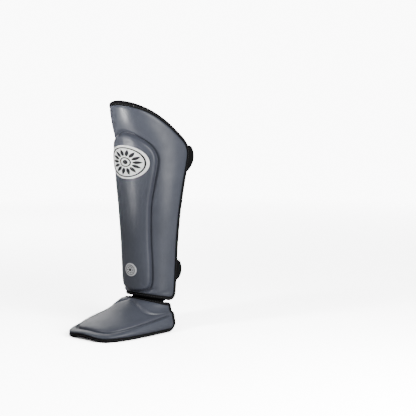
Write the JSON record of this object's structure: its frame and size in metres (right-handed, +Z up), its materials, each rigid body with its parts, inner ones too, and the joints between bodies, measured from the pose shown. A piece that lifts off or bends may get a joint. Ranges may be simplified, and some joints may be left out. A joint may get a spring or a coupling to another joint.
{
  "type": "muay thai shin guard",
  "caption": "Grey padded shin guard with a raised centre panel, flared knee end, instep pad, black edge tape, calf straps and two oval badges.",
  "frame": {"origin": "centre of the bounding box at floor level", "axes": "+Z up the shin, -Y out of the front of the shin and towards the toes, X across"},
  "size_m": [0.1458, 0.2594, 0.4306],
  "materials": {
    "grey_leather": "semi-matte grey synthetic leather over foam",
    "black_tape": "black woven edge tape",
    "black_webbing": "black elastic webbing",
    "white_rubber": "white moulded rubber patch with a printed pattern",
    "silver_rubber": "silver-grey moulded rubber patch"
  },
  "bodies": {
    "root": {"shin_pad": "grey_leather", "shin_binding": "black_tape", "foot_pad": "grey_leather", "foot_binding": "black_tape", "ankle_strip": "black_webbing", "upper_strap": "black_webbing", "upper_strap_tab": "black_webbing", "lower_strap": "black_webbing", "lower_strap_tab": "black_webbing", "sole_strap": "black_webbing", "shin_badge": "white_rubber", "ankle_badge": "silver_rubber"}
  },
  "joints": []
}
